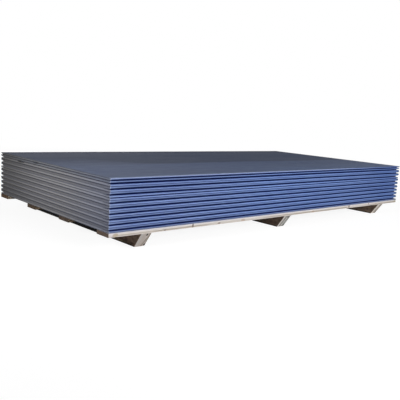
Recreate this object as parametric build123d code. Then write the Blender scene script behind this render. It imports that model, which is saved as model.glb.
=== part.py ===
from build123d import *
import os

# A stack of drywall sheets on its low timber pallet, in millimetres.
# X runs along the sheets, Y across them and Z up. The origin is on the floor,
# under the middle of the pallet.

# One sheet: gypsum board in paper, with square cut ends
sheet_length = 2500.0
sheet_width = 1200.0
sheet_thickness = 12.5
sheet_count = 20

# Its long edges: towards the edge the face drops along a shallow taper, then
# rounds over in a half-round nose, and the back runs out straight to the edge
taper_width = 50.0
taper_drop = 1.8
nose_depth = 7.0
nose_upright = 1.8
paper_fold_radius = 1.5

# How the sheets lie: each is turned over against the one below it, so that they
# meet face to face and back to back, except these, counted from the floor up
unturned_sheets = (14, 20)

# How far a sheet may lie off the middle of the stack, and in what rhythm
end_play = 1.2
end_rhythm = (0.0, 1.0, -0.5, 0.5, -1.0)
side_play = 0.6
side_rhythm = (-1.0, -0.5, 0.5, 1.0)

# Deck: sawn boards under the sheets, laid the way of the long side
deck_board_count = 4
deck_board_width = 100.0
deck_board_thickness = 20.0
deck_board_arris = 1.5

# Bearers: squared timbers across the pallet, flush with the deck's long sides,
# their ends sawn back at a slant towards the floor
bearer_width = 60.0
bearer_height = 75.0
bearer_end_slant = 54.0
bearer_arris = 2.0
bearer_overhang = 180.0

# Levels that follow from those sizes
deck_level = bearer_height
stack_level = deck_level + deck_board_thickness


def sheet_section():
    """Section across a sheet, lying on its back: both halves mirror each other."""
    edge = sheet_width / 2
    fold = paper_fold_radius
    nose_top = sheet_thickness - taper_drop
    nose_start = edge - nose_depth
    taper_start = edge - taper_width
    with BuildSketch(Plane.YZ) as section:
        with BuildLine():
            Line((0, 0), (edge - fold, 0))
            CenterArc(center=(edge - fold, fold), radius=fold, start_angle=-90, arc_size=90)
            Line((edge, fold), (edge, nose_upright))
            EllipticalCenterArc(
                center=(nose_start, nose_upright),
                x_radius=nose_depth,
                y_radius=nose_top - nose_upright,
                start_angle=0,
                arc_size=90,
            )
            Polyline((nose_start, nose_top), (taper_start, sheet_thickness), (0, sheet_thickness))
            mirror(about=Plane.YZ)
        make_face()
    return section.sketch


def drywall_sheet():
    """One sheet lying face up, its back at Z = 0."""
    return extrude(sheet_section(), amount=sheet_length / 2, both=True)


def deck_board():
    """One sawn board along X, its underside at Z = 0, with eased long arrises."""
    with BuildSketch(Plane.YZ) as section:
        Rectangle(deck_board_width, deck_board_thickness, align=(Align.CENTER, Align.MIN))
        chamfer(section.vertices(), deck_board_arris)
    return extrude(section.sketch, amount=sheet_length / 2, both=True)


def bearer():
    """One squared timber along Y, standing on Z = 0, its ends slanting in below."""
    top_reach = sheet_width / 2
    foot_reach = top_reach - bearer_end_slant
    with BuildSketch(Plane.YZ) as side:
        with BuildLine():
            Polyline(
                (-foot_reach, 0),
                (foot_reach, 0),
                (top_reach, bearer_height),
                (-top_reach, bearer_height),
                close=True,
            )
        make_face()
    timber = extrude(side.sketch, amount=bearer_width / 2, both=True)
    return chamfer(timber.edges().filter_by(Axis.Y), bearer_arris)


def write(shape, node):
    """One STEP file for each piece, named after it."""
    export_step(shape, f"parts/{node}.step")


def write_stack():
    """The sheets, numbered from the deck up."""
    face_up = drywall_sheet()
    face_down = Pos(0, 0, sheet_thickness) * Rot(180, 0, 0) * face_up
    is_face_up = False
    for number in range(1, sheet_count + 1):
        if number not in unturned_sheets:
            is_face_up = not is_face_up
        along = end_play * end_rhythm[number % len(end_rhythm)]
        across = side_play * side_rhythm[number % len(side_rhythm)]
        level = stack_level + (number - 1) * sheet_thickness
        sheet = face_up if is_face_up else face_down
        write(Pos(along, across, level) * sheet, f"sheet_{number:02d}")


def write_deck():
    """The deck boards, numbered from the front, evenly spread over the width."""
    outer_line = (sheet_width - deck_board_width) / 2
    pitch = 2 * outer_line / (deck_board_count - 1)
    board = deck_board()
    for index in range(deck_board_count):
        write(Pos(0, index * pitch - outer_line, deck_level) * board, f"deck_board_{index + 1}")


def write_bearers():
    """A bearer near each end of the deck and one in the middle."""
    outer_line = sheet_length / 2 - bearer_overhang - bearer_width / 2
    timber = bearer()
    for node, along in (("left", -outer_line), ("middle", 0.0), ("right", outer_line)):
        write(Pos(along, 0, 0) * timber, f"bearer_{node}")


os.makedirs("parts", exist_ok=True)
write_bearers()
write_deck()
write_stack()
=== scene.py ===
import math

import bmesh
import bpy
from mathutils import Matrix, Vector


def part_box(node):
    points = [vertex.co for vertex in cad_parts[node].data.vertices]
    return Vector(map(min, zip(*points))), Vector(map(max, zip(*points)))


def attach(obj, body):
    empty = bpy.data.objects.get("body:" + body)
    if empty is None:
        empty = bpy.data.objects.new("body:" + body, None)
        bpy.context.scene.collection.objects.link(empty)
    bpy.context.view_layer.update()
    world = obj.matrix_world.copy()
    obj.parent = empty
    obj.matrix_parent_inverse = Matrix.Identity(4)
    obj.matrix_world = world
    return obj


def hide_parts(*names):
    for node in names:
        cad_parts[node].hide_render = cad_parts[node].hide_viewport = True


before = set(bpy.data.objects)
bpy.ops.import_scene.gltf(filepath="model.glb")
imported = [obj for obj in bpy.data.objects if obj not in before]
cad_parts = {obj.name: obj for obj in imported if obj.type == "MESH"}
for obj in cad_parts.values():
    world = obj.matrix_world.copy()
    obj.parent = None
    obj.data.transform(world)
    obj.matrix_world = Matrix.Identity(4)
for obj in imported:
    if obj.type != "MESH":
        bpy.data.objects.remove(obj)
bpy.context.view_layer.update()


# The bearers
# Three squared softwood timbers across the pallet. They have weathered to brown, but the
# slanting saw cuts at their ends are still pale. The deck boards are nailed down on them.

bearer_names = ("left", "middle", "right")
bearer_slant = 0.054
bearer_arris = 0.002
flank_wear, flank_lump = 0.0014, 0.07
flank_foot, flank_head = 0.01, 0.06
# How many parts a bearer is divided in across, along and up, so that its wear can show
bearer_parts = (3, 18, 4)
bearer_rings = 0.006
# How high the painted shade at a bearer's foot reaches at its ends, and how much higher under
# the load
foot_shade_at_ends, foot_shade_rise = 0.006, 0.03
# Each nail in a cut: how far off the middle of the cut, and how high over the floor
nail_places = ((0.0095, 0.0665), (0.0235, 0.009))
nail_stain = 0.006


def take_up(piece):
    """Selects this piece alone."""
    bpy.ops.object.select_all(action="DESELECT")
    piece.select_set(True)
    bpy.context.view_layer.objects.active = piece


def open_mesh(piece):
    """Enters edit mode on this piece, with nothing selected."""
    take_up(piece)
    bpy.ops.object.mode_set(mode="EDIT")
    bpy.ops.mesh.select_all(action="DESELECT")


def close_mesh():
    bpy.ops.object.mode_set(mode="OBJECT")


def pick(kind, wanted):
    """In edit mode, selects only the VERT, EDGE or FACE elements that are wanted."""
    bpy.ops.mesh.select_mode(type=kind)
    bpy.ops.mesh.select_all(action="DESELECT")
    mesh = bpy.context.edit_object.data
    shape = bmesh.from_edit_mesh(mesh)
    shape.normal_update()
    for part in {"VERT": shape.verts, "EDGE": shape.edges, "FACE": shape.faces}[kind]:
        if wanted(part):
            part.select_set(True)
    bmesh.update_edit_mesh(mesh)


def saw_through(place, normal):
    """Cuts new edges into what is selected, and leaves it selected."""
    bpy.ops.mesh.bisect(plane_co=place, plane_no=normal)


def saw_all(axis, places):
    """Divides the whole mesh at these places along an axis."""
    normal = Vector((0, 0, 0))
    normal[axis] = 1
    for place in places:
        bpy.ops.mesh.select_all(action="SELECT")
        saw_through(normal * place, normal)


def steps(start, end, count):
    """The places between start and end that divide it in count equal parts."""
    return [start + (end - start) * k / count for k in range(1, count)]


def squared_timber(name, low, high):
    """A timber that fills its box."""
    bpy.ops.object.select_all(action="DESELECT")
    bpy.ops.mesh.primitive_cube_add(size=1, location=(low + high) / 2, scale=high - low)
    timber = bpy.context.active_object
    timber.name = name
    bpy.ops.object.transform_apply(location=True, rotation=True, scale=True)
    return timber


def ease_arrises(grain_axis, arris):
    """In edit mode, rounds the four long edges."""
    def is_long(edge):
        run = (edge.verts[1].co - edge.verts[0].co).normalized()
        return abs(run[grain_axis]) > 0.99

    pick("EDGE", is_long)
    bpy.ops.mesh.bevel(offset=arris, segments=2, affect="EDGES")


def wear_down(piece, group_name, wanted, depth, lump, direction="NORMAL"):
    """Sinks the wanted vertices unevenly by up to this depth, as handling and drying do."""
    group = piece.vertex_groups.new(name=group_name)
    group.add([v.index for v in piece.data.vertices if wanted(v)], 1.0, "REPLACE")
    hollows = bpy.data.textures.new(group_name, "CLOUDS")
    hollows.noise_scale = lump
    wear = piece.modifiers.new(group_name, "DISPLACE")
    wear.vertex_group = group_name
    wear.texture = hollows
    wear.texture_coords = "LOCAL"
    wear.direction = direction
    wear.mid_level = 1.0 if direction == "NORMAL" else 0.0
    wear.strength = depth
    take_up(piece)
    bpy.ops.object.modifier_apply(modifier=wear.name)
    piece.vertex_groups.clear()


def fit_materials(piece, materials, which):
    """Gives each face the material that which() names for it by number."""
    piece.data.materials.clear()
    for material in materials:
        piece.data.materials.append(material)
    for face in piece.data.polygons:
        face.material_index = which(face)


def set_up(piece, replaced, smooth_below):
    """Smooths, and fixes the piece to the frame in its node's stead."""
    take_up(piece)
    bpy.ops.object.shade_smooth_by_angle(angle=math.radians(smooth_below))
    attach(piece, "root")
    if replaced:
        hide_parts(replaced)


def paint(red, green, blue):
    """A colour as it is read off a screen, 0 to 255, in Blender's linear terms."""
    def linear(part):
        part = part / 255
        return part / 12.92 if part <= 0.04045 else ((part + 0.055) / 1.055) ** 2.4
    return (linear(red), linear(green), linear(blue), 1.0)


def deeper(colour, share):
    """A darker shade of a colour."""
    return [part * share for part in colour[:3]] + [1.0]


def add_node(tree, kind, settings=None, **sockets):
    """Adds a node. A socket is given by its name with _ for a space, or as sN by number."""
    made = tree.nodes.new("ShaderNode" + kind)
    for name, value in (settings or {}).items():
        setattr(made, name, value)
    for name, value in sockets.items():
        key = int(name[1:]) if name[0] == "s" and name[1:].isdigit() else name.replace("_", " ")
        if isinstance(value, bpy.types.NodeSocket):
            tree.links.new(value, made.inputs[key])
        else:
            made.inputs[key].default_value = value
    return made


def figure(tree, operation, first, second=0.0, third=0.0, clamp=False):
    """One step of arithmetic."""
    settings = {"operation": operation, "use_clamp": clamp}
    return add_node(tree, "Math", settings, s0=first, s1=second, s2=third).outputs[0]


def moved(tree, place, location=(0, 0, 0), rotation=(0, 0, 0), scale=(1, 1, 1)):
    """A place in a frame that is turned, stretched and shifted."""
    mapping = add_node(tree, "Mapping", None, Vector=place, Location=location,
                       Rotation=rotation, Scale=scale)
    return mapping.outputs[0]


def speckle(tree, place, size, detail=2.0, roughness=0.5):
    """Noise from 0 to 1 whose lumps are about 1 / size metres."""
    noise = add_node(tree, "TexNoise", None, Vector=place, Scale=size, Detail=detail,
                     Roughness=roughness)
    return noise.outputs["Fac"]


def streaked(tree, place, sizes, detail=2.0, roughness=0.5):
    """Noise whose lumps have a size of their own along each axis."""
    return speckle(tree, moved(tree, place, scale=sizes), 1.0, detail, roughness)


def between(tree, value, low, high, first=0.0, last=1.0):
    """Rises smoothly from first to last as the value goes from low to high."""
    settings = {"interpolation_type": "SMOOTHSTEP"}
    made = add_node(tree, "MapRange", settings, s0=value, s1=low, s2=high, s3=first, s4=last)
    return made.outputs[0]


def blend(tree, share, first, second, how="MIX"):
    """Mixes two colours."""
    settings = {"data_type": "RGBA", "blend_type": how}
    return add_node(tree, "Mix", settings, s0=share, s6=first, s7=second).outputs[2]


def tinted(tree, share, colour, tint):
    """Multiplies a colour by a tint, as far as share says."""
    return blend(tree, share, colour, (*tint, 1), "MULTIPLY")


def object_place(tree):
    return add_node(tree, "TexCoord").outputs["Object"]


def split(tree, place):
    """The three parts of a place."""
    return add_node(tree, "SeparateXYZ", None, s0=place).outputs


def new_material(name, **constants):
    """A material with a Principled BSDF, and its tree."""
    material = bpy.data.materials.new(name)
    material.use_nodes = True
    tree = material.node_tree
    tree.nodes.clear()
    shader = add_node(tree, "BsdfPrincipled", None, **constants)
    output = add_node(tree, "OutputMaterial")
    tree.links.new(shader.outputs[0], output.inputs[0])
    return material, tree, shader


def finish_surface(tree, shader, colour, roughness, height, depth):
    """Feeds the shader's colour, roughness and bump."""
    tree.links.new(colour, shader.inputs["Base Color"])
    tree.links.new(roughness, shader.inputs["Roughness"])
    bump = add_node(tree, "Bump", None, Distance=depth, Height=height)
    tree.links.new(bump.outputs[0], shader.inputs["Normal"])


def new_group(name, takes, gives):
    """A node group. An input is a Color, a Vector or a number, and Colour comes out as one."""
    group = bpy.data.node_groups.new(name, "ShaderNodeTree")
    for label, kind in takes.items():
        is_number = isinstance(kind, float)
        kind_name = "NodeSocketFloat" if is_number else "NodeSocket" + kind
        socket = group.interface.new_socket(label, in_out="INPUT", socket_type=kind_name)
        if is_number:
            socket.default_value = kind
    for label in gives:
        kind_name = "NodeSocketColor" if label == "Colour" else "NodeSocketFloat"
        group.interface.new_socket(label, in_out="OUTPUT", socket_type=kind_name)
    given = group.nodes.new("NodeGroupInput").outputs
    wanted = group.nodes.new("NodeGroupOutput").inputs
    return group, given, wanted


def give_out(group, wanted, **values):
    """Links each value to the group's output of that name."""
    for name, value in values.items():
        group.links.new(value, wanted[name])


def use_group(tree, group, **sockets):
    """Places a group in a tree."""
    return add_node(tree, "Group", {"node_tree": group}, **sockets).outputs


def make_timber_figure():
    """Growth rings round a pith that runs along X, and the fibres between them."""
    takes = {"Place": "Vector", "Pith Y": 0.0, "Pith Z": -0.1, "Ring Width": 0.004}
    group, given, wanted = new_group("Timber_Figure", takes, ("Rings", "Fibre", "Tone"))
    waver = streaked(group, given["Place"], (0.9, 9, 9))
    _, across, above = split(group, given["Place"])
    across = figure(group, "SUBTRACT", across, given["Pith Y"])
    above = figure(group, "SUBTRACT", above, given["Pith Z"])
    squares = figure(group, "ADD", figure(group, "MULTIPLY", across, across),
                     figure(group, "MULTIPLY", above, above))
    radius = figure(group, "MULTIPLY_ADD", waver, 0.012, figure(group, "SQRT", squares))
    turn = figure(group, "FRACT", figure(group, "DIVIDE", radius, given["Ring Width"]))
    late_wood = figure(group, "MULTIPLY", between(group, turn, 0.35, 0.92),
                       between(group, turn, 1.0, 0.93))
    fibre = streaked(group, given["Place"], (14, 420, 420), 3.0, 0.6)
    tone = streaked(group, given["Place"], (2.2, 26, 26))
    give_out(group, wanted, Rings=late_wood, Fibre=fibre, Tone=tone)
    return group


def make_oval_spot():
    """A soft oval spot over a colour, on the plane of two axes."""
    takes = {"Colour": "Color", "Across": 0.0, "Up": 0.0, "Middle Across": 0.0, "Middle Up": 0.0,
             "Reach Across": 0.01, "Reach Up": 0.01, "Tint": "Color", "Strength": 1.0}
    group, given, wanted = new_group("Oval_Spot", takes, ("Colour",))
    squares = 0.0
    for axis in ("Across", "Up"):
        off = figure(group, "SUBTRACT", given[axis], given["Middle " + axis])
        share = figure(group, "DIVIDE", off, given["Reach " + axis])
        squares = figure(group, "MULTIPLY_ADD", share, share, squares)
    cover = between(group, squares, 1.3, 0.5, 0.0, given["Strength"])
    give_out(group, wanted, Colour=blend(group, cover, given["Colour"], given["Tint"]))
    return group


def make_mottle():
    """Uneven patches that darken and lighten a colour."""
    takes = {"Colour": "Color", "Place": "Vector", "Darker": "Color", "Lighter": "Color"}
    group, given, wanted = new_group("Mottle", takes, ("Colour",))
    patches = between(group, speckle(group, given["Place"], 1.0, 3.0, 0.7), 0.35, 0.65)
    shade = blend(group, patches, given["Darker"], given["Lighter"])
    give_out(group, wanted, Colour=blend(group, 1.0, given["Colour"], shade, "MULTIPLY"))
    return group


timber_figure = make_timber_figure()
oval_spot = make_oval_spot()
mottle = make_mottle()


def add_spot(tree, colour, axes, middle, reach, tint, strength):
    """Paints an oval spot over a colour, on the plane of the two axes."""
    return use_group(tree, oval_spot, Colour=colour, Across=axes[0], Up=axes[1],
                     Middle_Across=middle[0], Middle_Up=middle[1], Reach_Across=reach[0],
                     Reach_Up=reach[1], Tint=tint, Strength=strength)["Colour"]


def add_mottle(tree, colour, place, sizes, darker, lighter):
    """Mottles a colour in patches of these sizes."""
    return use_group(tree, mottle, Colour=colour, Place=moved(tree, place, scale=sizes),
                     Darker=darker, Lighter=lighter)["Colour"]


def timber_material(name, grain_turn, offset, pith, ring_width, light, dark, ring_share, stain,
                    bump_depth, marks=None):
    """Sawn softwood. The grain turn brings the grain onto X; stain darkens it in patches."""
    material, tree, shader = new_material(name, Specular_IOR_Level=0.1)
    place = moved(tree, object_place(tree), offset, (0, 0, grain_turn))
    wood = use_group(tree, timber_figure, Place=place, Pith_Y=pith[0], Pith_Z=pith[1],
                     Ring_Width=ring_width)
    fibre_share = figure(tree, "MULTIPLY_ADD", wood["Fibre"], 0.5, -0.15)
    share = figure(tree, "MULTIPLY_ADD", wood["Rings"], ring_share, fibre_share, clamp=True)
    colour = blend(tree, share, light, dark)
    patches = between(tree, wood["Tone"], 0.42, 0.75, 0.0, stain)
    colour = blend(tree, patches, colour, deeper(dark, 0.45))
    if marks:
        colour = marks(tree, colour)
    roughness = between(tree, wood["Fibre"], 0.2, 0.8, 0.72, 0.92)
    height = figure(tree, "MULTIPLY_ADD", wood["Rings"], 0.35, wood["Fibre"])
    finish_surface(tree, shader, colour, roughness, height, bump_depth)
    return material


# For each bearer the light and the dark wood of its cut, and the growth bands that run down it:
# place across the cut at the height band_level, lean per metre of height, half width, colour
band_level = 0.035
bearer_cuts = {
    "left": (paint(212, 202, 196), paint(198, 187, 178), (
        (-0.020, 0.00, 0.006, paint(206, 202, 198)), (0.018, 0.30, 0.005, paint(158, 146, 130)),
        (0.028, 0.00, 0.002, paint(134, 122, 108)))),
    "middle": (paint(202, 199, 194), paint(162, 160, 154), (
        (-0.024, 0.00, 0.006, paint(236, 228, 222)), (-0.006, 0.10, 0.004, paint(134, 129, 122)),
        (0.005, 0.00, 0.003, paint(232, 228, 222)), (0.018, 0.00, 0.007, paint(156, 158, 152)))),
    "right": (paint(228, 220, 210), paint(206, 196, 184), (
        (-0.018, 0.00, 0.010, paint(242, 234, 225)), (0.011, 0.00, 0.006, paint(142, 132, 120)),
        (0.024, 0.10, 0.004, paint(156, 140, 124)))),
}


def make_cut_figure():
    """Streaks down the slope of a cut, fine pores, and how far the growth bands wander."""
    gives = ("Streaks", "Pores", "Wander")
    group, given, wanted = new_group("Cut_Figure", {"Place": "Vector"}, gives)
    place = given["Place"]
    wander = figure(group, "MULTIPLY_ADD", speckle(group, place, 28.0), 0.008, -0.004)
    give_out(group, wanted, Streaks=streaked(group, place, (190, 9, 9), 3.0, 0.6),
             Pores=speckle(group, place, 700.0, 2.0, 0.7), Wander=wander)
    return group


def make_growth_band():
    """A soft band over a colour that runs up a cut, with a lean."""
    takes = {"Colour": "Color", "Across": 0.0, "Up": 0.0, "Foot": 0.0, "Lean": 0.0,
             "Reach": 0.005, "Tint": "Color"}
    group, given, wanted = new_group("Growth_Band", takes, ("Colour",))
    line = figure(group, "MULTIPLY_ADD", given["Up"], given["Lean"], given["Foot"])
    off_line = figure(group, "ABSOLUTE", figure(group, "SUBTRACT", given["Across"], line))
    outer = figure(group, "MULTIPLY", given["Reach"], 1.3)
    inner = figure(group, "MULTIPLY", given["Reach"], 0.6)
    cover = between(group, off_line, outer, inner, 0.0, 0.8)
    give_out(group, wanted, Colour=blend(group, cover, given["Colour"], given["Tint"]))
    return group


def make_weather_stains():
    """Reddish and olive patches over a colour, as rain and dirt leave them on old softwood."""
    takes = {"Colour": "Color", "Place": "Vector"}
    group, given, wanted = new_group("Weather_Stains", takes, ("Colour",))
    patches = streaked(group, given["Place"], (7, 7, 30))
    reddish = between(group, patches, 0.52, 0.66, 0.0, 0.4)
    olive = between(group, patches, 0.46, 0.36, 0.0, 0.5)
    colour = blend(group, reddish, given["Colour"], paint(142, 114, 102))
    give_out(group, wanted, Colour=blend(group, olive, colour, paint(132, 124, 94)))
    return group


def make_bearer_foot_shade():
    """Painted shade: a foot darkened nearly to black, tallest under the load."""
    takes = {"Colour": "Color", "Place": "Vector"}
    group, given, wanted = new_group("Bearer_Foot_Shade", takes, ("Colour",))
    _, along, height = split(group, given["Place"])
    under_load = figure(group, "MULTIPLY", between(group, along, -0.38, -0.22),
                        between(group, along, 0.56, 0.46))
    foot_shade_height = figure(group, "MULTIPLY_ADD", under_load, foot_shade_rise, foot_shade_at_ends)
    foot_shade_share = between(group, figure(group, "DIVIDE", height, foot_shade_height), 1.1, 0.7)
    off_underside = between(group, height, 0.0, 0.0015, 0.5, 1.0)
    cover = figure(group, "MULTIPLY", foot_shade_share, off_underside)
    # Painted shade: the foot is darkened nearly to black.
    give_out(group, wanted, Colour=blend(group, cover, given["Colour"], paint(7, 6, 5)))
    return group


cut_figure = make_cut_figure()
growth_band = make_growth_band()
weather_stains = make_weather_stains()
bearer_foot_shade = make_bearer_foot_shade()


def bearer_cut_material(name, middle):
    """The slanting cut: pale wood, streaked down the slope, with dark rings about the nails."""
    light, dark, bands = bearer_cuts[name]
    material, tree, shader = new_material("bearer_cut_" + name, Specular_IOR_Level=0.2)
    place = moved(tree, object_place(tree), (-middle, 0, 0))
    cut = use_group(tree, cut_figure, Place=place)
    colour = blend(tree, between(tree, cut["Streaks"], 0.62, 0.4), light, dark)
    off_middle, inward, up = split(tree, place)
    across = figure(tree, "ADD", off_middle, cut["Wander"])
    for centre, lean, reach, tint in bands:
        colour = use_group(tree, growth_band, Colour=colour, Across=across, Up=up, Lean=lean,
                           Foot=centre - lean * band_level, Reach=reach, Tint=tint)["Colour"]
    nail_side = figure(tree, "MULTIPLY", off_middle, figure(tree, "SIGN", inward))
    for offset, nail_height in nail_places:
        colour = add_spot(tree, colour, (nail_side, up), (-offset, nail_height),
                          (nail_stain, nail_stain), paint(48, 41, 34), 0.9)
    pores = between(tree, cut["Pores"], 0.6, 0.8, 0.0, 0.5)
    colour = blend(tree, pores, colour, paint(92, 80, 70))
    roughness = between(tree, cut["Streaks"], 0.3, 0.7, 0.78, 0.92)
    height = figure(tree, "ADD", cut["Streaks"], cut["Pores"])
    finish_surface(tree, shader, colour, roughness, height, 0.0006)
    return material


def add_weathering(tree, colour):
    """Stains, mottle and a painted shade along the foot of a bearer's sides."""
    place = object_place(tree)
    colour = use_group(tree, weather_stains, Colour=colour, Place=place)["Colour"]
    colour = add_mottle(tree, colour, place, (40, 45, 70), (0.72, 0.7, 0.7, 1),
                        (1.28, 1.25, 1.2, 1))
    return use_group(tree, bearer_foot_shade, Colour=colour, Place=place)["Colour"]


def make_bearer(name):
    """Cut to length with the ends sawn back below, then worn along its flanks."""
    def on_flank(v):
        return abs(v.normal.x) > 0.9 and flank_foot < v.co.z < flank_head

    low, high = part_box("bearer_" + name)
    timber = squared_timber("timber_" + name, low, high)
    open_mesh(timber)
    for side in (-1, 1):
        end = low.y if side < 0 else high.y
        pick("VERT", lambda v: abs(v.co.y - end) < 1e-5 and v.co.z < 0.01)
        bpy.ops.transform.translate(value=(0, -side * bearer_slant, 0))
    ease_arrises(1, bearer_arris)
    parts_across, parts_along, parts_up = bearer_parts
    saw_all(1, steps(low.y + bearer_slant, high.y - bearer_slant, parts_along))
    saw_all(2, steps(low.z, high.z, parts_up))
    saw_all(0, steps(low.x, high.x, parts_across))
    close_mesh()
    wear_down(timber, "flanks", on_flank, flank_wear, flank_lump)
    side_wood = timber_material(
        "bearer_side_" + name, math.radians(-90), (low.x, 0, 0), (0.03, -0.05), bearer_rings,
        paint(150, 132, 118), paint(98, 82, 70), 0.5, 0.4, 0.0006, add_weathering)
    cut_wood = bearer_cut_material(name, (low.x + high.x) / 2)
    fit_materials(timber, (side_wood, cut_wood), lambda face: int(abs(face.normal.y) > 0.5))
    set_up(timber, "bearer_" + name, 35)


for bearer_name in bearer_names:
    make_bearer(bearer_name)


# The nails
# Flat-headed wire nails, driven into the bearers' slanting ends and left a little proud, their
# steel gone dull and dark in the weather.

nail_radius = 0.0035
nail_head = 0.0014
nail_rim = nail_head * 0.4
# How far the shank stands in from the head's edge, its length, and what the point keeps of it
nail_step = nail_radius * 0.55
nail_shank = 0.012
nail_point = 0.3


def make_nail():
    """A head with a rounded rim, drawn out behind into the shank, pointing along +Z."""
    bpy.ops.object.select_all(action="DESELECT")
    bpy.ops.mesh.primitive_cylinder_add(vertices=20, radius=nail_radius, depth=nail_head)
    nail = bpy.context.active_object
    open_mesh(nail)
    pick("EDGE", lambda edge: all(v.co.z > 0 for v in edge.verts))
    bpy.ops.mesh.bevel(offset=nail_rim, segments=2, affect="EDGES")
    pick("FACE", lambda face: face.normal.z < -0.99)
    bpy.ops.mesh.inset(thickness=nail_step)
    bpy.ops.mesh.extrude_region_move(TRANSFORM_OT_translate={"value": (0, 0, -nail_shank)})
    bpy.ops.transform.resize(value=(nail_point, nail_point, 1))
    close_mesh()
    return nail


def make_nail_steel():
    material, tree, shader = new_material("dull_nail_steel", Metallic=0.85)
    rust = speckle(tree, object_place(tree), 900.0, 3.0, 0.6)
    colour = blend(tree, between(tree, rust, 0.4, 0.65), paint(64, 58, 52), paint(58, 42, 32))
    roughness = between(tree, rust, 0.4, 0.65, 0.45, 0.8)
    finish_surface(tree, shader, colour, roughness, rust, 0.0002)
    return material


def drive_nails():
    """Two nails square to each slanting cut."""
    pattern_nail = make_nail()
    nail_steel = make_nail_steel()
    for name in bearer_names:
        low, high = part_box("bearer_" + name)
        for side, end in ((-1, "front"), (1, "back")):
            outward = Vector((0, side * (high.z - low.z), -bearer_slant)).normalized()
            turn = outward.to_track_quat("Z", "X").to_matrix().to_4x4()
            for number, (offset, height) in enumerate(nail_places, 1):
                nail = bpy.data.objects.new(f"nail_{name}_{end}_{number}",
                                            pattern_nail.data.copy())
                bpy.context.scene.collection.objects.link(nail)
                reach = high.y - bearer_slant * (high.z - height) / (high.z - low.z)
                spot = Vector(((low.x + high.x) / 2 - side * offset, side * reach, height))
                nail.data.transform(Matrix.Translation(spot) @ turn)
                fit_materials(nail, (nail_steel,), lambda face: 0)
                set_up(nail, None, 40)
    bpy.data.objects.remove(pattern_nail)


drive_nails()


# The deck boards
# Four thin sawn softwood boards that run the way of the sheets, flush with them at the front
# and the ends. The front edge is pale new wood, and the end grain has gone dark with damp.

deck_board_arris = 0.0015
# How uneven the saw left the edges, below a top rim that stays true, and in how many parts
saw_play, saw_lump, true_rim = 0.0008, 0.09, 0.002
deck_board_parts = (40, 3)
deck_rings = 0.0045
# How far the wood's figure moves along from one board to the next
figure_shift = 0.7
# Each board's light and dark wood, where its pith lies, and the light and dark of its end grain
deck_woods = (
    (paint(228, 221, 215), paint(202, 193, 183), (0.015, -0.09),
     paint(116, 100, 90), paint(76, 64, 54)),
    (paint(150, 134, 114), paint(118, 98, 78), (-0.05, 0.12),
     paint(98, 84, 74), paint(60, 50, 42)),
    (paint(154, 136, 114), paint(122, 102, 80), (0.04, -0.2),
     paint(100, 84, 70), paint(62, 50, 40)),
    (paint(186, 172, 152), paint(154, 134, 110), (-0.01, -0.12),
     paint(112, 92, 72), paint(74, 58, 44)),
)
# Knots and marks along the front edge: place along X, height over the board's underside, half
# length, half height, colour, strength
front_edge_marks = (
    (-1.238, 0.010, 0.010, 0.014, paint(230, 222, 222), 0.7),
    (-1.212, 0.009, 0.015, 0.009, paint(186, 170, 148), 0.8),
    (-0.930, 0.005, 0.006, 0.003, paint(104, 86, 72), 0.8),
    (-0.750, 0.011, 0.005, 0.011, paint(84, 66, 54), 0.85),
    (-0.567, 0.007, 0.012, 0.004, paint(112, 92, 76), 0.7),
    (-0.385, 0.008, 0.018, 0.006, paint(184, 158, 140), 0.7),
    (0.245, 0.007, 0.016, 0.005, paint(170, 148, 130), 0.7),
    (0.640, 0.011, 0.006, 0.011, paint(118, 102, 90), 0.85),
    (0.880, 0.014, 0.006, 0.006, paint(150, 132, 116), 0.7),
    (1.232, 0.008, 0.018, 0.008, paint(184, 177, 158), 0.8),
)


def add_front_edge(tree, colour):
    """Knots, marks and a brown streak that comes and goes along the lower half of the edge."""
    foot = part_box("deck_board_1")[0].z
    along, _, height = split(tree, object_place(tree))
    drift = streaked(tree, object_place(tree), (2.6, 1, 1), 1.0)
    low_half = figure(tree, "MULTIPLY", between(tree, height, foot + 0.0108, foot + 0.0088),
                      between(tree, height, foot + 0.0025, foot + 0.0045))
    streak = figure(tree, "MULTIPLY", low_half, between(tree, drift, 0.40, 0.60, 0.3, 0.95))
    colour = blend(tree, streak, colour, paint(170, 158, 146))
    top_rim = between(tree, height, foot + 0.013, foot + 0.017, 0.0, 0.6)
    colour = blend(tree, top_rim, colour, paint(222, 220, 230))
    for middle, mark_height, half_length, half_height, tint, strength in front_edge_marks:
        colour = add_spot(tree, colour, (along, height), (middle, foot + mark_height),
                          (half_length, half_height), tint, strength)
    return colour


def make_deck_board(number):
    """Sawn to size, arrises eased, edges a little uneven from the saw."""
    def on_edge(v):
        return abs(v.normal.y) > 0.9 and v.co.z < high.z - true_rim

    low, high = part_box(f"deck_board_{number}")
    board = squared_timber(f"sawn_board_{number}", low, high)
    open_mesh(board)
    ease_arrises(0, deck_board_arris)
    parts_along, parts_up = deck_board_parts
    saw_all(0, steps(low.x, high.x, parts_along))
    saw_all(2, steps(low.z, high.z, parts_up))
    close_mesh()
    wear_down(board, "edges", on_edge, saw_play, saw_lump)
    light, dark, pith, end_light, end_dark = deck_woods[number - 1]
    corner = (number * figure_shift, -(low.y + high.y) / 2, -low.z)
    side_wood = timber_material(f"deck_side_{number}", 0, corner, pith, deck_rings, light, dark,
                                0.35, 0.12, 0.0003, add_front_edge if number == 1 else None)
    end_wood = timber_material(f"deck_end_{number}", 0, corner, pith, deck_rings, end_light,
                               end_dark, 0.4, 0.4, 0.0005)
    fit_materials(board, (side_wood, end_wood), lambda face: int(abs(face.normal.x) > 0.5))
    set_up(board, f"deck_board_{number}", 35)


for deck_board_number in range(1, len(deck_woods) + 1):
    make_deck_board(deck_board_number)


# The sheets
# Twenty gypsum boards: a plaster core cast between blue face paper, which wraps the tapered,
# rounded long edges and laps onto the back, and a grey liner on the back. The ends are sawn.

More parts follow.
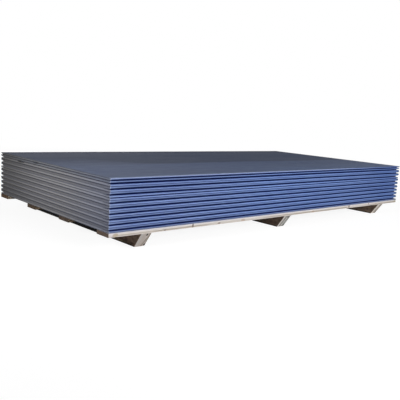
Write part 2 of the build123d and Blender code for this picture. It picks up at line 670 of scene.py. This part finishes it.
sheet_length, sheet_width, sheet_thickness = 2.5, 1.2, 0.0125
sheet_count = 20
paper_thickness = 0.0005
paper_lap = 0.014
taper_reach = 0.052
end_strip = 0.006
core_recess = 0.0004
# The noses' outer part is worn, all along but near the ends
nose_depth, nose_wear, nose_lump, nose_run = 0.0035, 0.0004, 0.16, 1.2
# How many parts a sheet is divided in along, and its sawn ends across
sheet_parts, end_parts = 24, 100
# Corners pressed thin in handling: how far along and across, and each fifth sheet's share left
pressed_length, pressed_width = 0.020, 0.018
pressed_runout = pressed_length * 1.8
pressed_shares = (0.68, 0.76, 0.70, 0.80, 0.72)
stack_foot, stack_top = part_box("sheet_01")[0].z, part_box("sheet_20")[1].z
turned_down = (2, 4, 6, 8, 10, 12, 15, 17, 19, 20)
pale_cores = (1, 3, 5, 7, 9, 11, 13, 14, 16, 18)
# Joints where the painted groove shade is widened into a dark line: how many sheets down, and
# how tall the line is
shaded_joints = ((1, 0.0078), (2, 0.0062))
# Dirty knocks in the left end: place across, height over the floor, half width, half height
end_knocks = ((0.33, 0.319, 0.050, 0.0065), (0.14, 0.3325, 0.035, 0.005))
# Sheets whose cut rims are bruised on top, and below, so that a dark line shows there
bruised_above, bruised_below = (13, 18, 19), (14, 19, 20)
bruise_depth, bruise_lump = 0.003, 0.03
rim_length, rim_height = 0.002, 0.0008
# How far from its ends a sheet notes the distance to them, for its materials
noted_reach = 0.05


def make_paper_fibre():
    """Pressed paper fibres, with faint streaks the way that the board ran on the line."""
    gives = ("Tone", "Streaks", "Fibre", "Scuffs")
    group, given, wanted = new_group("Paper_Fibre", {"Place": "Vector"}, gives)
    place = given["Place"]
    rubs = moved(group, place, rotation=(0, 0, 0.2), scale=(5, 60, 60))
    scuffs = between(group, speckle(group, rubs, 1.0, 4.0, 0.65), 0.60, 0.72)
    give_out(group, wanted, Tone=streaked(group, place, (0.8, 3, 3), 3.0), Scuffs=scuffs,
             Streaks=streaked(group, place, (1.8, 260, 260), 2.0, 0.6),
             Fibre=speckle(group, place, 900.0, 2.0, 0.7))
    return group


def make_gypsum_dust():
    """Pale dust and frayed paper, 1 at a sawn end and fading unevenly away from it."""
    takes = {"Place": "Vector", "From End": 1.0, "Reach": 0.006}
    group, given, wanted = new_group("Gypsum_Dust", takes, ("Mask",))
    ragged = speckle(group, given["Place"], 230.0, 3.0, 0.6)
    share = figure(group, "DIVIDE", given["From End"], given["Reach"])
    uneven = figure(group, "MULTIPLY_ADD", ragged, 1.2, share)
    give_out(group, wanted, Mask=between(group, uneven, 1.5, 0.6))
    return group


def make_cast_gypsum():
    """The smears, crumbs and bubbles of a sawn core, and where it is denser near the papers."""
    takes = {"Place": "Vector", "Level": 0.5}
    gives = ("Smear", "Crumbs", "Bubbles", "Margin")
    group, given, wanted = new_group("Cast_Gypsum", takes, gives)
    smear = streaked(group, given["Place"], (60, 24, 300), 3.0, 0.6)
    crumbs = speckle(group, given["Place"], 420.0, 3.0, 0.7)
    off_middle = figure(group, "ABSOLUTE", figure(group, "SUBTRACT", given["Level"], 0.5))
    give_out(group, wanted, Smear=between(group, smear, 0.3, 0.7), Crumbs=crumbs,
             Bubbles=between(group, crumbs, 0.55, 0.75, 0.0, 0.5),
             Margin=between(group, off_middle, 0.2, 0.38))
    return group


def make_painted_end_light():
    """Painted light and shade on the cut ends: bluer to the front, browner and darker to the
    back, and darker to the foot.
    """
    takes = {"Colour": "Color", "Place": "Vector"}
    group, given, wanted = new_group("Painted_End_Light", takes, ("Colour",))
    _, across, height_up = split(group, given["Place"])
    far = between(group, across, 0.1, 0.6, 0.0, 0.35)
    colour = blend(group, far, given["Colour"], paint(128, 128, 130))
    to_front = between(group, across, -0.1, -0.6)
    colour = tinted(group, to_front, colour, (0.86, 0.91, 1.08))
    to_back = between(group, across, 0.0, 0.6)
    colour = tinted(group, to_back, colour, (0.66, 0.65, 0.62))
    to_foot = between(group, height_up, 0.21, stack_foot)
    give_out(group, wanted, Colour=tinted(group, to_foot, colour, (0.8, 0.8, 0.8)))
    return group


paper_fibre = make_paper_fibre()
gypsum_dust = make_gypsum_dust()
cast_gypsum = make_cast_gypsum()
painted_end_light = make_painted_end_light()


def sheet_place(tree):
    """How far a spot is from the sheet's end, and its share of the way from back to face."""
    noted = add_node(tree, "Attribute", {"attribute_name": "sheet_place"}).outputs["Vector"]
    return split(tree, noted)[:2]


def lit_rubbed_paper(tree, paper, along):
    """The paler blue of the lit, rubbed rounded edges, scuffed, and painted palest with light at
    the left end.
    """
    colour = blend(tree, between(tree, paper["Streaks"], 0.3, 0.7), paint(108, 129, 180),
                   paint(127, 149, 202))
    worn = between(tree, paper["Tone"], 0.35, 0.75, 0.0, 0.35)
    colour = blend(tree, worn, colour, paint(97, 119, 177))
    scuffs = figure(tree, "MULTIPLY", paper["Scuffs"], 0.35)
    colour = blend(tree, scuffs, colour, paint(150, 164, 200))
    # Painted light: the edge is palest at the lit left end.
    at_left = between(tree, along, -1.12, -1.25, 0.0, 0.4)
    return blend(tree, at_left, colour, paint(146, 164, 206))


def lit_and_rubbed_share(tree, place, level, height_up):
    """1 on the lit, rubbed rounded edge, 0 in the grooves between the sheets, which are painted
    in shade.
    """
    shade = streaked(tree, place, (0.4, 0.1, 45), 1.0)
    near_back = figure(tree, "MULTIPLY_ADD", shade, -0.16, level)
    lit_and_rubbed = figure(tree, "MULTIPLY", between(tree, level, 0.73, 0.59),
                     between(tree, near_back, -0.05, 0.06))
    # At these joints the painted groove shade is made taller.
    for sheets_down, shade_height in shaded_joints:
        joint = stack_top - sheets_down * sheet_thickness
        above = between(tree, height_up, joint + shade_height - 0.002, joint + shade_height)
        below = between(tree, height_up, joint, joint - 0.002)
        lit_and_rubbed = figure(tree, "MULTIPLY", lit_and_rubbed, figure(tree, "ADD", above, below))
    return lit_and_rubbed


def make_face_paper():
    """Painted shade: deep blue in the grooves where the sheets shade each other, paler on the
    lit, rubbed rounded edge.
    """
    material, tree, shader = new_material("blue_face_paper", Specular_IOR_Level=0.2)
    place = object_place(tree)
    from_end, level = sheet_place(tree)
    along, _, height_up = split(tree, place)
    paper = use_group(tree, paper_fibre, Place=place)
    # The deep blue of the grooves is painted shade.
    groove_shade_blue = blend(tree, between(tree, paper["Streaks"], 0.3, 0.7), paint(0, 24, 86),
                 paint(4, 29, 96))
    colour = blend(tree, lit_and_rubbed_share(tree, place, level, height_up), groove_shade_blue,
                   lit_rubbed_paper(tree, paper, along))
    # Painted light and shade: the blue is less washed out away from the lit left end, and darker
    # towards the right end.
    away_from_light = between(tree, along, -0.9, -0.1)
    colour = tinted(tree, away_from_light, colour, (0.95, 1.04, 1.09))
    shade_to_right = between(tree, along, 0.7, 1.25)
    colour = tinted(tree, shade_to_right, colour, (0.72, 0.8, 0.89))
    # Painted highlight along the top edge of the stack, strongest to the left.
    top_rim = figure(tree, "MULTIPLY",
                     between(tree, height_up, stack_top - 0.005, stack_top - 0.002, 0.0, 0.7),
                     between(tree, along, 1.2, 0.2, 0.1, 1.0))
    colour = blend(tree, top_rim, colour, paint(170, 184, 220))
    # Painted shade along the foot of the stack, just above the deck.
    sheet_foot_shade = between(tree, height_up, stack_foot + 0.009, stack_foot + 0.005, 0.0, 0.85)
    colour = blend(tree, sheet_foot_shade, colour, paint(98, 107, 134))
    frayed = use_group(tree, gypsum_dust, Place=place, From_End=from_end, Reach=0.008)["Mask"]
    colour = blend(tree, figure(tree, "MULTIPLY", frayed, 0.45), colour, paint(186, 194, 214))
    # Painted shade on the last few centimetres of the edges at the right end.
    right_end_shade = between(tree, along, 1.215, 1.24)
    colour = tinted(tree, right_end_shade, colour, (0.74, 0.76, 0.66))
    roughness = between(tree, paper["Fibre"], 0.2, 0.8, 0.62, 0.8)
    height = figure(tree, "ADD", paper["Fibre"], paper["Streaks"])
    finish_surface(tree, shader, colour, roughness, height, 0.0002)
    return material


def liner_light_and_shade(tree, paper, along, across):
    """Greyed blue, painted paler in front with light and darker behind with shade. It fades to
    the darker back more slowly at the left.
    """
    shade_to_right = between(tree, along, -1.25, 0.4)
    # Painted light in front and painted shade behind, both darker towards the right.
    front = blend(tree, shade_to_right, paint(109, 120, 149), paint(88, 104, 139))
    behind = blend(tree, shade_to_right, paint(62, 68, 83), paint(42, 53, 79))
    wavering = figure(tree, "MULTIPLY_ADD", paper["Tone"], 0.08, across)
    fade_from = between(tree, along, -0.6, -1.0, -0.13, -0.22)
    fade_to = between(tree, along, -0.6, -1.0, -0.04, 0.3)
    colour = blend(tree, between(tree, wavering, fade_from, fade_to, 0.0, 0.85), front, behind)
    # Painted light near the front at the right.
    lit_near_right = figure(tree, "MULTIPLY", between(tree, across, -0.3, -0.45),
                        between(tree, along, -0.4, 0.3))
    return tinted(tree, lit_near_right, colour, (1.12, 1.16, 1.18))


def make_liner_paper():
    """Grey liner with painted light and shade, mottled with its fibres, dusty at the sawn ends
    and dark at the far edge.
    """
    material, tree, shader = new_material("grey_liner_paper", Specular_IOR_Level=0.1)
    place = object_place(tree)
    from_end = sheet_place(tree)[0]
    paper = use_group(tree, paper_fibre, Place=place)
    along, across, _ = split(tree, place)
    colour = liner_light_and_shade(tree, paper, along, across)
    pale = between(tree, paper["Tone"], 0.3, 0.7, 0.0, 0.25)
    colour = blend(tree, pale, colour, paint(112, 118, 134))
    colour = add_mottle(tree, colour, place, (9, 30, 30), (0.9, 0.9, 0.92, 1),
                        (1.09, 1.1, 1.07, 1))
    streaks = between(tree, paper["Streaks"], 0.3, 0.7, 0.0, 0.35)
    colour = blend(tree, streaks, colour, paint(80, 88, 108))
    fibres = between(tree, paper["Fibre"], 0.5, 0.8, 0.0, 0.25)
    colour = blend(tree, fibres, colour, paint(128, 134, 146))
    scuffs = figure(tree, "MULTIPLY", paper["Scuffs"], 0.2)
    colour = blend(tree, scuffs, colour, paint(124, 131, 146))
    far_edge = between(tree, across, 0.49, 0.55)
    colour = tinted(tree, far_edge, colour, (0.62, 0.6, 0.62))
    dusty = use_group(tree, gypsum_dust, Place=place, From_End=from_end, Reach=0.02)["Mask"]
    colour = blend(tree, figure(tree, "MULTIPLY", dusty, 0.2), colour, paint(150, 154, 164))
    roughness = between(tree, paper["Fibre"], 0.2, 0.8, 0.75, 0.9)
    finish_surface(tree, shader, colour, roughness, paper["Fibre"], 0.0002)
    return material


def make_core(name, middle_light, middle_dark, margin, face_grime=0.0):
    """Cast gypsum with small air bubbles, denser and darker towards the papers."""
    material, tree, shader = new_material(name, Specular_IOR_Level=0.15)
    place = object_place(tree)
    level = sheet_place(tree)[1]
    gypsum = use_group(tree, cast_gypsum, Place=place, Level=level)
    colour = blend(tree, gypsum["Smear"], middle_light, middle_dark)
    colour = blend(tree, gypsum["Margin"], colour, margin)
    near_back = between(tree, level, 0.2, 0.08, 0.0, 0.8)
    colour = blend(tree, near_back, colour, paint(56, 56, 62))
    near_face = between(tree, level, 0.62, 0.8, 0.0, face_grime)
    colour = blend(tree, near_face, colour, paint(48, 42, 46))
    colour = blend(tree, gypsum["Bubbles"], colour, deeper(margin, 0.55))
    along, across, height_up = split(tree, place)
    at_left = between(tree, along, 0.1, -0.1, 0.0, 0.85)
    for middle, height, half_width, half_height in end_knocks:
        colour = add_spot(tree, colour, (across, height_up), (middle, height),
                          (half_width, half_height), paint(36, 35, 30), at_left)
    # Painted light and shade across the cut end and down to its foot.
    colour = use_group(tree, painted_end_light, Colour=colour, Place=place)["Colour"]
    roughness = between(tree, gypsum["Crumbs"], 0.2, 0.8, 0.8, 0.95)
    finish_surface(tree, shader, colour, roughness, gypsum["Crumbs"], 0.0006)
    return material


face_paper = make_face_paper()
liner_paper = make_liner_paper()
cores = {
    "pale": make_core("gypsum_core_pale", paint(174, 173, 176), paint(164, 163, 166),
                      paint(122, 122, 126)),
    "dull": make_core("gypsum_core_dull", paint(143, 142, 145), paint(130, 129, 132),
                      paint(118, 118, 122)),
    "top": make_core("gypsum_core_top", paint(150, 153, 160), paint(142, 145, 152),
                     paint(136, 139, 146), 0.9),
}


def saw_strips(half_length, half_width):
    """In edit mode, divides the sheet for its papers, its hollows, its rims and its corners."""
    for strip in (end_strip, pressed_length, pressed_runout):
        saw_all(0, [-half_length + strip, half_length - strip])
    saw_all(0, steps(-half_length, half_length, sheet_parts))
    for edge in (-1, 1):
        pick("FACE", lambda face: face.normal.z < -0.99)
        saw_through((0, edge * (half_width - paper_lap), 0), (0, 1, 0))
        for reach in (taper_reach, pressed_width):
            pick("FACE", lambda face: face.normal.z > 0.99)
            saw_through((0, edge * (half_width - reach), 0), (0, 1, 0))
    for place in steps(-half_width, half_width, end_parts):
        pick("FACE", lambda face: abs(face.calc_center_median().x) > half_length - end_strip)
        saw_through((0, place, 0), (0, 1, 0))


def make_pattern_sheet():
    """The first sheet's solid, moved to the middle with its back at Z = 0, and worked on."""
    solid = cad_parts["sheet_01"]
    sheet = bpy.data.objects.new("pattern_sheet", solid.data.copy())
    bpy.context.scene.collection.objects.link(sheet)
    low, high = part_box("sheet_01")
    middle = (low + high) / 2
    sheet.data.transform(Matrix.Translation((-middle.x, -middle.y, -low.z)))
    half_length, half_width = sheet_length / 2, sheet_width / 2
    open_mesh(sheet)
    bpy.ops.mesh.select_all(action="SELECT")
    bpy.ops.mesh.remove_doubles(threshold=1e-6)
    bpy.ops.mesh.dissolve_limited(angle_limit=math.radians(0.5))
    saw_strips(half_length, half_width)
    pick("FACE", lambda face: abs(face.normal.x) > 0.99)
    bpy.ops.mesh.inset(thickness=paper_thickness, depth=-core_recess, use_boundary=True)
    close_mesh()
    noted = sheet.data.attributes.new("sheet_place", "FLOAT_VECTOR", "POINT")
    for note, vertex in zip(noted.data, sheet.data.vertices):
        from_end = min(half_length - abs(vertex.co.x), noted_reach)
        note.vector = (from_end, vertex.co.z / sheet_thickness, 0)
    return sheet


def sheet_part(face):
    """Which material a face of the face-up pattern sheet has: 0 face paper, 1 liner, 2 core."""
    spot = face.center
    if abs(face.normal.x) > 0.99 and abs(spot.x) < sheet_length / 2 - core_recess / 2:
        return 2
    on_back = spot.z < paper_thickness * 1.2 and abs(spot.y) < sheet_width / 2 - paper_lap
    return 1 if on_back else 0


def bruise_rims(sheet, name, middle, level):
    """Knocks the rims of both cut ends at this level back here and there."""
    def on_rim(v):
        return abs(v.co.x - end) < rim_length and abs(v.co.z - level) < rim_height

    for side in (-1, 1):
        end = middle.x + side * sheet_length / 2
        wear_down(sheet, name, on_rim, -side * bruise_depth, bruise_lump, "X")


def press_corners(sheet, middle, back, share):
    """Presses three corners thin towards the back. The near left one has stayed crisp."""
    def in_corner(v):
        along, across = v.co.x - middle.x, v.co.y - middle.y
        near_left = along < 0 and across < 0
        at_end = abs(along) > sheet_length / 2 - pressed_length - 1e-4
        at_edge = abs(across) > sheet_width / 2 - pressed_width - 1e-4
        return at_end and at_edge and not near_left

    open_mesh(sheet)
    pick("VERT", in_corner)
    bpy.ops.transform.resize(value=(1, 1, share), center_override=(0, 0, back))
    close_mesh()


pattern_sheet = make_pattern_sheet()


def core_of(number):
    """The two top sheets share a core, and in those below pale and dull ones take turns."""
    if number > sheet_count - 2:
        return cores["top"]
    return cores["pale" if number in pale_cores else "dull"]


def make_sheet(number):
    """A copy of the pattern sheet, turned over or not, laid in its place and worn."""
    def on_nose(v):
        return abs(v.co.y - middle.y) > high.y - nose_depth and abs(v.co.x) < nose_run

    node = f"sheet_{number:02d}"
    low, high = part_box(node)
    middle = (low + high) / 2
    sheet = bpy.data.objects.new(f"drywall_{number:02d}", pattern_sheet.data.copy())
    bpy.context.scene.collection.objects.link(sheet)
    fit_materials(sheet, (face_paper, liner_paper, core_of(number)), sheet_part)
    back = low.z
    if number in turned_down:
        over = Matrix.Rotation(math.pi, 4, "X")
        sheet.data.transform(Matrix.Translation((0, 0, high.z - low.z)) @ over)
        back = high.z
    sheet.data.transform(Matrix.Translation((middle.x, middle.y, low.z)))
    press_corners(sheet, middle, back, pressed_shares[number % len(pressed_shares)])
    wear_down(sheet, "nose", on_nose, nose_wear, nose_lump)
    if number in bruised_above:
        bruise_rims(sheet, "rim_above", middle, high.z)
    if number in bruised_below:
        bruise_rims(sheet, "rim_below", middle, low.z)
    set_up(sheet, node, 30)


for sheet_number in range(1, sheet_count + 1):
    make_sheet(sheet_number)
bpy.data.objects.remove(pattern_sheet)


# The studio
# A plain pale floor, a white background, four soft lamps round the stack and the light of the
# room, with the camera where the photographer stood.

camera_place = Vector((-2.571, -2.654, 0.663))
camera_yaw, camera_pitch, camera_roll = (math.radians(turn) for turn in (42.13, -9.19, 3.51))
camera_lens = 49.80
room_light = 0.15
floor_size = 120
floor_drop = 0.0003
floor_bounce = 0.5
floor_shadow = 0.2
# The floor is seen as plain white wherever the light on it is at least this, of 1
floor_light = 0.5
# How far from the middle its shadow begins to fade, and where none is left
floor_near, floor_far = 2.2, 6.0
# Each lamp's name, place, aim, width, height, power and spread in degrees
lamps = (
    ("front_lamp", (0.0, -4.2, 1.4), (0, -0.6, 0.2), 2.4, 1.2, 118.0, 180),
    ("side_lamp", (-4.0, -1.2, 1.6), (-1.25, -0.1, 0.28), 0.9, 0.9, 6.3, 60),
    ("back_lamp", (0.8, 4.2, 0.45), (0, 0.6, 0.2), 3.0, 0.5, 40.0, 180),
    ("right_lamp", (4.2, 0.6, 0.45), (1.2, 0, 0.2), 2.0, 0.5, 25.0, 180),
)


def make_camera():
    level_share = math.cos(camera_pitch)
    forward = Vector((math.sin(camera_yaw) * level_share, math.cos(camera_yaw) * level_share,
                      math.sin(camera_pitch)))
    level = Vector((math.cos(camera_yaw), -math.sin(camera_yaw), 0))
    upright = level.cross(forward)
    right = level * math.cos(camera_roll) + upright * math.sin(camera_roll)
    up = upright * math.cos(camera_roll) - level * math.sin(camera_roll)
    lens = bpy.data.cameras.new("camera")
    lens.sensor_width = 36
    lens.lens = camera_lens
    camera = bpy.data.objects.new("camera", lens)
    bpy.context.scene.collection.objects.link(camera)
    turn = Matrix((right, up, -forward)).transposed().to_4x4()
    camera.matrix_world = Matrix.Translation(camera_place) @ turn
    bpy.context.scene.camera = camera


def seen_share(tree):
    """1 for the rays that show the background: straight, mirrored or let through."""
    path = add_node(tree, "LightPath").outputs
    share = figure(tree, "ADD", path["Is Camera Ray"], path["Is Glossy Ray"])
    return figure(tree, "ADD", share, path["Is Transmission Ray"], clamp=True)


def grey(level):
    return (level, level, level, 1)


def make_floor():
    """Pale to the eye, with a soft shadow near the stack, and plain white further off."""
    bpy.ops.object.select_all(action="DESELECT")
    bpy.ops.mesh.primitive_plane_add(size=floor_size, location=(0, 0, -floor_drop))
    floor = bpy.context.active_object
    floor.name = "floor"
    bpy.ops.object.transform_apply(location=True)
    material = bpy.data.materials.new("pale_floor")
    material.use_nodes = True
    tree = material.node_tree
    tree.nodes.clear()
    seen = seen_share(tree)
    from_stack = add_node(tree, "VectorMath", {"operation": "LENGTH"}, s0=object_place(tree))
    far = between(tree, from_stack.outputs["Value"], floor_near, floor_far)
    seen_tint = blend(tree, far, grey(floor_shadow), grey(0))
    matt = add_node(tree, "BsdfDiffuse", None,
                    Color=blend(tree, seen, grey(floor_bounce), seen_tint))
    glow_share = between(tree, far, 0, 1, 1 - floor_shadow * floor_light, 1.0)
    glow = add_node(tree, "Emission", None, Strength=figure(tree, "MULTIPLY", seen, glow_share))
    both = add_node(tree, "AddShader", None, s0=matt.outputs[0], s1=glow.outputs[0])
    add_node(tree, "OutputMaterial", None, Surface=both.outputs[0])
    floor.data.materials.append(material)


def make_room():
    """White where it is seen, and dim as a light."""
    world = bpy.data.worlds.new("room")
    bpy.context.scene.world = world
    world.use_nodes = True
    tree = world.node_tree
    tree.nodes.clear()
    strength = figure(tree, "MULTIPLY_ADD", seen_share(tree), 1 - room_light, room_light)
    light = add_node(tree, "Background", None, Color=grey(1), Strength=strength)
    add_node(tree, "OutputWorld", None, Surface=light.outputs[0])


def make_lamp(name, place, aim, width, height, power, spread):
    place, aim = Vector(place), Vector(aim)
    lamp_light = bpy.data.lights.new(name, "AREA")
    lamp_light.shape = "RECTANGLE"
    lamp_light.size, lamp_light.size_y = width, height
    lamp_light.energy = power
    lamp_light.spread = math.radians(spread)
    lamp = bpy.data.objects.new(name, lamp_light)
    bpy.context.scene.collection.objects.link(lamp)
    turn = (aim - place).to_track_quat("-Z", "Y").to_matrix().to_4x4()
    lamp.matrix_world = Matrix.Translation(place) @ turn


make_camera()
make_floor()
make_room()
for lamp_facts in lamps:
    make_lamp(*lamp_facts)

bpy.context.scene.view_settings.view_transform = "Standard"
